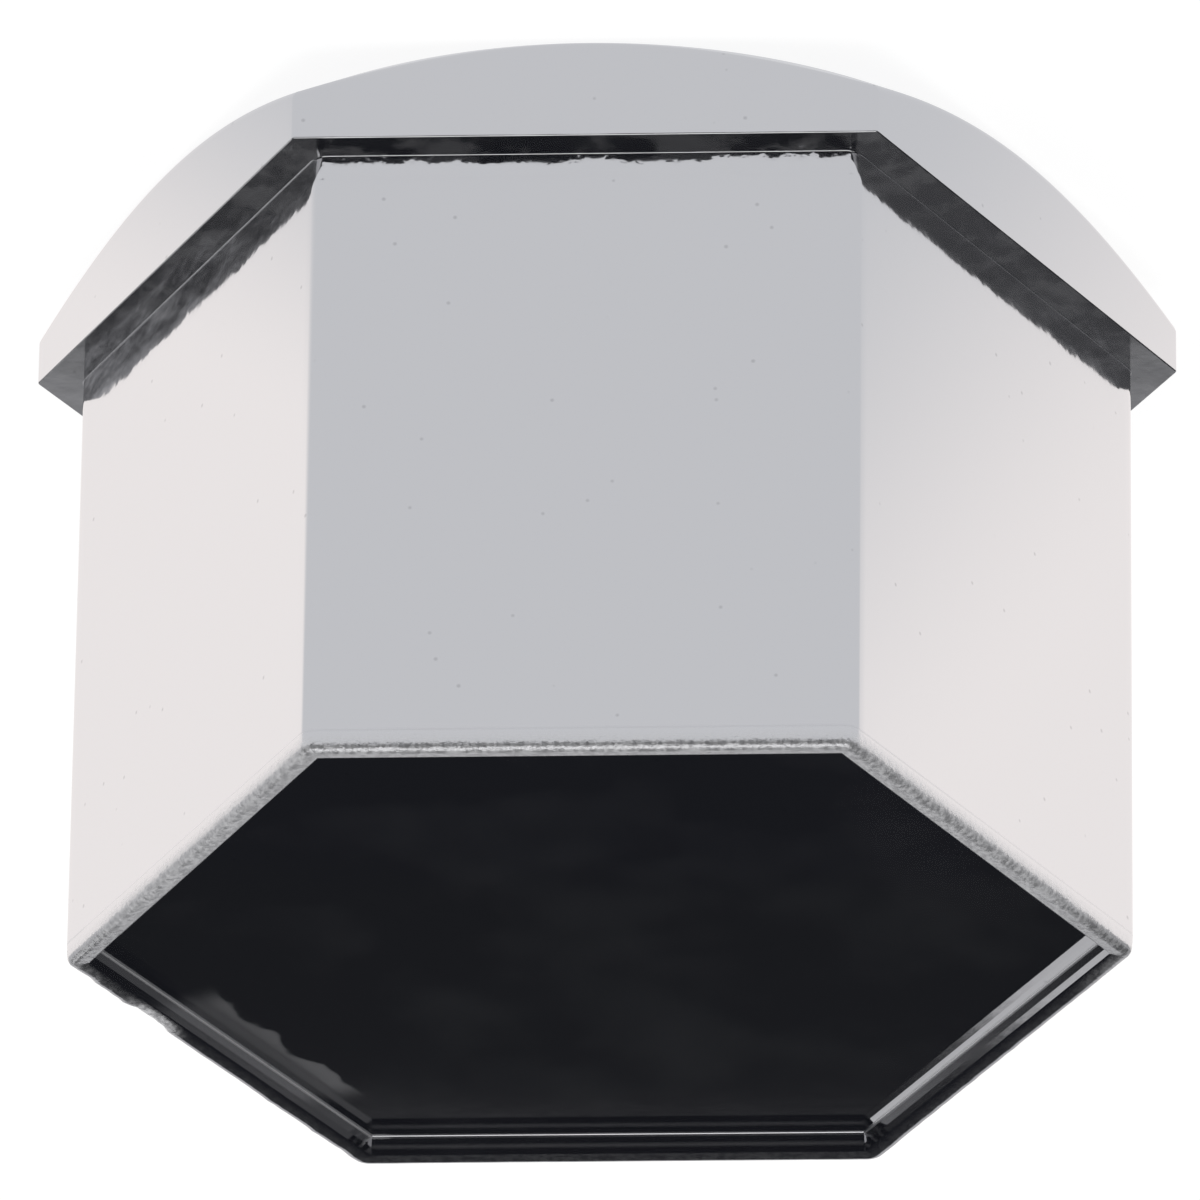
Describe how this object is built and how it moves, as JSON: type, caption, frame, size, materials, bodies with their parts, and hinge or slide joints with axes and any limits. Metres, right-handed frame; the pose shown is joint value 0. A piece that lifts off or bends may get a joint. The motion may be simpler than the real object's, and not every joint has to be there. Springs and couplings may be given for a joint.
{
  "type": "wheel nut cover cap",
  "caption": "Hexagonal chrome-plated cover cap that pushes over a wheel nut, with a recessed closed end and a stepped collar at its mouth.",
  "frame": {"origin": "centre of the open mouth, on the plane that the cap stands on", "axes": "+Z along the cap's axis towards its closed end, +Y at right angles to a pair of flats, +X through a pair of corners"},
  "size_m": [0.0274, 0.0238, 0.0183],
  "materials": {
    "chrome_plating": "mirror-bright chrome plating over moulded plastic"
  },
  "bodies": {
    "root": {"cap": "chrome_plating"}
  },
  "joints": []
}
